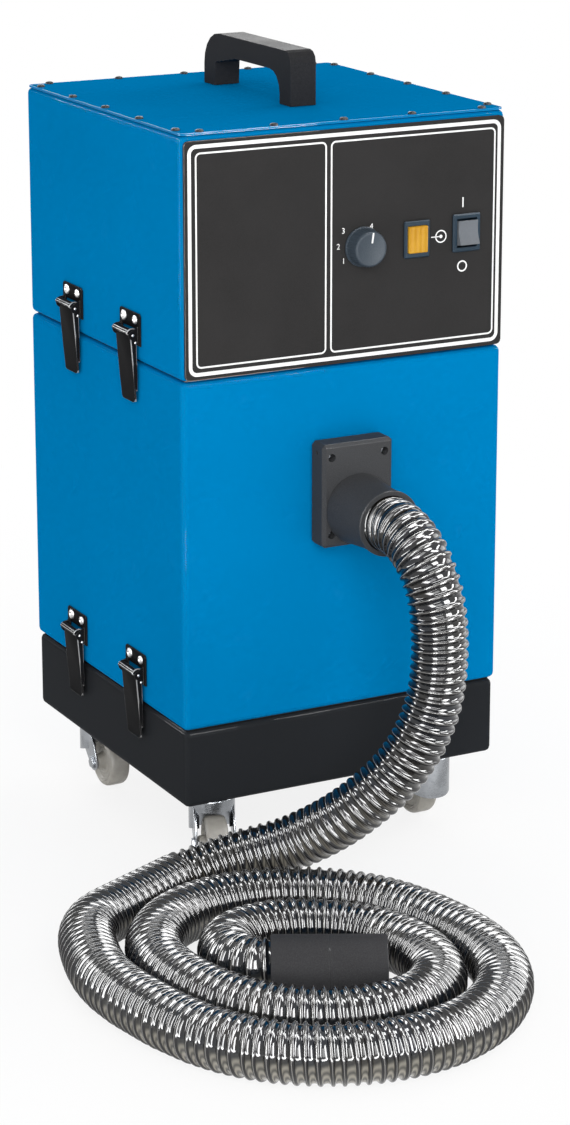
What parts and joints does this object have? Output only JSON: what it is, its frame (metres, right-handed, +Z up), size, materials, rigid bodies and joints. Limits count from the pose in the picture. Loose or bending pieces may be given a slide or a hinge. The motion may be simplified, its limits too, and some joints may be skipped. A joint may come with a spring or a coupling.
{
  "type": "mobile welding fume extractor",
  "caption": "Blue sheet-metal fume extractor on swivel casters, with a control panel, carry handle, draw latches and a ribbed suction hose coiled on the floor.",
  "frame": {"origin": "on the floor under the centre of the cabinet", "axes": "+Z up, the control panel and hose face -Y, +X to the right seen from the front"},
  "size_m": [0.5277, 0.795, 0.726],
  "materials": {
    "blue_paint": "semi-gloss powder coat",
    "black_paint": "satin powder coat",
    "black_plastic": "satin, moulded",
    "grey_rocker": "satin, moulded",
    "amber_lens": "clear amber",
    "hose_plastic": "smoky, glossy",
    "cuff_rubber": "matt",
    "seal_rubber": "matt foam",
    "zinc": "zinc plated",
    "black_steel": "black passivated",
    "wheel_grey": "satin",
    "galvanised": "galvanised",
    "filter_paper": "pleated fibre",
    "motor_metal": "cast, satin"
  },
  "bodies": {
    "cabinet": {"base_tray": "black_paint", "filter_housing": "blue_paint", "inlet_block": "black_plastic", "hose_collar": "black_plastic", "hose_drop": "hose_plastic", "hose_coil": "hose_plastic", "hose_end_cuff": "cuff_rubber", "filter_cartridge": "filter_paper", "lower_seal": "seal_rubber", "upper_seal": "seal_rubber", "spark_baffle": "galvanised", "head_shell": "blue_paint", "top_cover": "blue_paint", "carry_handle": "black_plastic", "control_panel": "black_plastic", "lamp_bezel": "black_plastic", "lamp_lens": "amber_lens", "switch_frame": "black_plastic", "motor_deck": "galvanised", "blower_motor": "motor_metal", "exhaust_grille": "black_plastic", "cord_gland": "black_plastic", "front_left_caster_plate": "zinc", "front_right_caster_plate": "zinc", "back_left_caster_plate": "zinc", "back_right_caster_plate": "zinc", "upper_latch_left_front_bracket": "black_steel", "upper_latch_left_back_bracket": "black_steel", "upper_latch_right_front_bracket": "black_steel", "upper_latch_right_back_bracket": "black_steel", "lower_latch_left_front_bracket": "black_steel", "lower_latch_left_back_bracket": "black_steel", "lower_latch_right_front_bracket": "black_steel", "lower_latch_right_back_bracket": "black_steel"},
    "front_left_fork": {"front_left_caster_fork": "zinc"},
    "front_left_wheel": {"front_left_caster_wheel": "wheel_grey"},
    "front_right_fork": {"front_right_caster_fork": "zinc"},
    "front_right_wheel": {"front_right_caster_wheel": "wheel_grey"},
    "back_left_fork": {"back_left_caster_fork": "zinc"},
    "back_left_wheel": {"back_left_caster_wheel": "wheel_grey"},
    "back_right_fork": {"back_right_caster_fork": "zinc"},
    "back_right_wheel": {"back_right_caster_wheel": "wheel_grey"},
    "upper_latch_left_front_lever": {"upper_latch_left_front_lever": "black_steel"},
    "upper_latch_left_front_link": {"upper_latch_left_front_link": "black_steel"},
    "upper_latch_left_back_lever": {"upper_latch_left_back_lever": "black_steel"},
    "upper_latch_left_back_link": {"upper_latch_left_back_link": "black_steel"},
    "upper_latch_right_front_lever": {"upper_latch_right_front_lever": "black_steel"},
    "upper_latch_right_front_link": {"upper_latch_right_front_link": "black_steel"},
    "upper_latch_right_back_lever": {"upper_latch_right_back_lever": "black_steel"},
    "upper_latch_right_back_link": {"upper_latch_right_back_link": "black_steel"},
    "lower_latch_left_front_lever": {"lower_latch_left_front_lever": "black_steel"},
    "lower_latch_left_front_link": {"lower_latch_left_front_link": "black_steel"},
    "lower_latch_left_back_lever": {"lower_latch_left_back_lever": "black_steel"},
    "lower_latch_left_back_link": {"lower_latch_left_back_link": "black_steel"},
    "lower_latch_right_front_lever": {"lower_latch_right_front_lever": "black_steel"},
    "lower_latch_right_front_link": {"lower_latch_right_front_link": "black_steel"},
    "lower_latch_right_back_lever": {"lower_latch_right_back_lever": "black_steel"},
    "lower_latch_right_back_link": {"lower_latch_right_back_link": "black_steel"},
    "airflow_knob": {"airflow_knob": "black_plastic"},
    "switch_rocker": {"switch_rocker": "grey_rocker"}
  },
  "joints": [
    {"name": "front_left_swivel", "type": "hinge", "parent": "cabinet", "child": "front_left_fork", "pos_m": [-0.113, -0.12, 0.06], "axis": [0, 0, 1], "continuous": true},
    {"name": "front_left_wheel_spin", "type": "hinge", "parent": "front_left_fork", "child": "front_left_wheel", "pos_m": [-0.11918, -0.13902, 0.025], "axis": [0.9511, -0.309, 0], "continuous": true},
    {"name": "front_right_swivel", "type": "hinge", "parent": "cabinet", "child": "front_right_fork", "pos_m": [0.113, -0.12, 0.06], "axis": [0, 0, 1], "continuous": true},
    {"name": "front_right_wheel_spin", "type": "hinge", "parent": "front_right_fork", "child": "front_right_wheel", "pos_m": [0.113, -0.1, 0.025], "axis": [-1, 0, 0], "continuous": true},
    {"name": "back_left_swivel", "type": "hinge", "parent": "cabinet", "child": "back_left_fork", "pos_m": [-0.113, 0.12, 0.06], "axis": [0, 0, 1], "continuous": true},
    {"name": "back_left_wheel_spin", "type": "hinge", "parent": "back_left_fork", "child": "back_left_wheel", "pos_m": [-0.113, 0.1, 0.025], "axis": [1, 0, 0], "continuous": true},
    {"name": "back_right_swivel", "type": "hinge", "parent": "cabinet", "child": "back_right_fork", "pos_m": [0.113, 0.12, 0.06], "axis": [0, 0, 1], "continuous": true},
    {"name": "back_right_wheel_spin", "type": "hinge", "parent": "back_right_fork", "child": "back_right_wheel", "pos_m": [0.12586, 0.13532, 0.025], "axis": [-0.766, 0.6428, 0], "continuous": true},
    {"name": "upper_latch_left_front_lever_hinge", "type": "hinge", "parent": "cabinet", "child": "upper_latch_left_front_lever", "pos_m": [-0.1666, -0.0617, 0.48775], "axis": [0, 1, 0], "range_deg": [0, 145]},
    {"name": "upper_latch_left_front_link_hinge", "type": "hinge", "parent": "upper_latch_left_front_lever", "child": "upper_latch_left_front_link", "pos_m": [-0.16712, -0.0617, 0.4907], "axis": [0, 1, 0], "range_deg": [-132, 1]},
    {"name": "upper_latch_left_back_lever_hinge", "type": "hinge", "parent": "cabinet", "child": "upper_latch_left_back_lever", "pos_m": [-0.1666, 0.0617, 0.48775], "axis": [0, 1, 0], "range_deg": [0, 145]},
    {"name": "upper_latch_left_back_link_hinge", "type": "hinge", "parent": "upper_latch_left_back_lever", "child": "upper_latch_left_back_link", "pos_m": [-0.16712, 0.0617, 0.4907], "axis": [0, 1, 0], "range_deg": [-132, 1]},
    {"name": "upper_latch_right_front_lever_hinge", "type": "hinge", "parent": "cabinet", "child": "upper_latch_right_front_lever", "pos_m": [0.1666, -0.0617, 0.48775], "axis": [0, -1, 0], "range_deg": [0, 145]},
    {"name": "upper_latch_right_front_link_hinge", "type": "hinge", "parent": "upper_latch_right_front_lever", "child": "upper_latch_right_front_link", "pos_m": [0.16712, -0.0617, 0.4907], "axis": [0, -1, 0], "range_deg": [-132, 1]},
    {"name": "upper_latch_right_back_lever_hinge", "type": "hinge", "parent": "cabinet", "child": "upper_latch_right_back_lever", "pos_m": [0.1666, 0.0617, 0.48775], "axis": [0, -1, 0], "range_deg": [0, 145]},
    {"name": "upper_latch_right_back_link_hinge", "type": "hinge", "parent": "upper_latch_right_back_lever", "child": "upper_latch_right_back_link", "pos_m": [0.16712, 0.0617, 0.4907], "axis": [0, -1, 0], "range_deg": [-132, 1]},
    {"name": "lower_latch_left_front_lever_hinge", "type": "hinge", "parent": "cabinet", "child": "lower_latch_left_front_lever", "pos_m": [-0.1666, -0.0645, 0.17425], "axis": [0, 1, 0], "range_deg": [0, 145]},
    {"name": "lower_latch_left_front_link_hinge", "type": "hinge", "parent": "lower_latch_left_front_lever", "child": "lower_latch_left_front_link", "pos_m": [-0.16712, -0.0645, 0.1772], "axis": [0, 1, 0], "range_deg": [-132, 1]},
    {"name": "lower_latch_left_back_lever_hinge", "type": "hinge", "parent": "cabinet", "child": "lower_latch_left_back_lever", "pos_m": [-0.1666, 0.0645, 0.17425], "axis": [0, 1, 0], "range_deg": [0, 145]},
    {"name": "lower_latch_left_back_link_hinge", "type": "hinge", "parent": "lower_latch_left_back_lever", "child": "lower_latch_left_back_link", "pos_m": [-0.16712, 0.0645, 0.1772], "axis": [0, 1, 0], "range_deg": [-132, 1]},
    {"name": "lower_latch_right_front_lever_hinge", "type": "hinge", "parent": "cabinet", "child": "lower_latch_right_front_lever", "pos_m": [0.1666, -0.0645, 0.17425], "axis": [0, -1, 0], "range_deg": [0, 145]},
    {"name": "lower_latch_right_front_link_hinge", "type": "hinge", "parent": "lower_latch_right_front_lever", "child": "lower_latch_right_front_link", "pos_m": [0.16712, -0.0645, 0.1772], "axis": [0, -1, 0], "range_deg": [-132, 1]},
    {"name": "lower_latch_right_back_lever_hinge", "type": "hinge", "parent": "cabinet", "child": "lower_latch_right_back_lever", "pos_m": [0.1666, 0.0645, 0.17425], "axis": [0, -1, 0], "range_deg": [0, 145]},
    {"name": "lower_latch_right_back_link_hinge", "type": "hinge", "parent": "lower_latch_right_back_lever", "child": "lower_latch_right_back_link", "pos_m": [0.16712, 0.0645, 0.1772], "axis": [0, -1, 0], "range_deg": [-132, 1]},
    {"name": "airflow_knob_turn", "type": "hinge", "parent": "cabinet", "child": "airflow_knob", "pos_m": [0.0146, -0.165, 0.5657], "axis": [0, -1, 0], "range_deg": [-22, 133]},
    {"name": "switch_rocker_tilt", "type": "hinge", "parent": "cabinet", "child": "switch_rocker", "pos_m": [0.1191, -0.1683, 0.569], "axis": [1, 0, 0], "range_deg": [0, 20]}
  ],
  "couplings": [
    {"joint": "upper_latch_left_front_link_hinge", "follows": "upper_latch_left_front_lever_hinge", "ratio": -0.9},
    {"joint": "upper_latch_left_back_link_hinge", "follows": "upper_latch_left_back_lever_hinge", "ratio": -0.9},
    {"joint": "upper_latch_right_front_link_hinge", "follows": "upper_latch_right_front_lever_hinge", "ratio": -0.9},
    {"joint": "upper_latch_right_back_link_hinge", "follows": "upper_latch_right_back_lever_hinge", "ratio": -0.9},
    {"joint": "lower_latch_left_front_link_hinge", "follows": "lower_latch_left_front_lever_hinge", "ratio": -0.9},
    {"joint": "lower_latch_left_back_link_hinge", "follows": "lower_latch_left_back_lever_hinge", "ratio": -0.9},
    {"joint": "lower_latch_right_front_link_hinge", "follows": "lower_latch_right_front_lever_hinge", "ratio": -0.9},
    {"joint": "lower_latch_right_back_link_hinge", "follows": "lower_latch_right_back_lever_hinge", "ratio": -0.9}
  ]
}
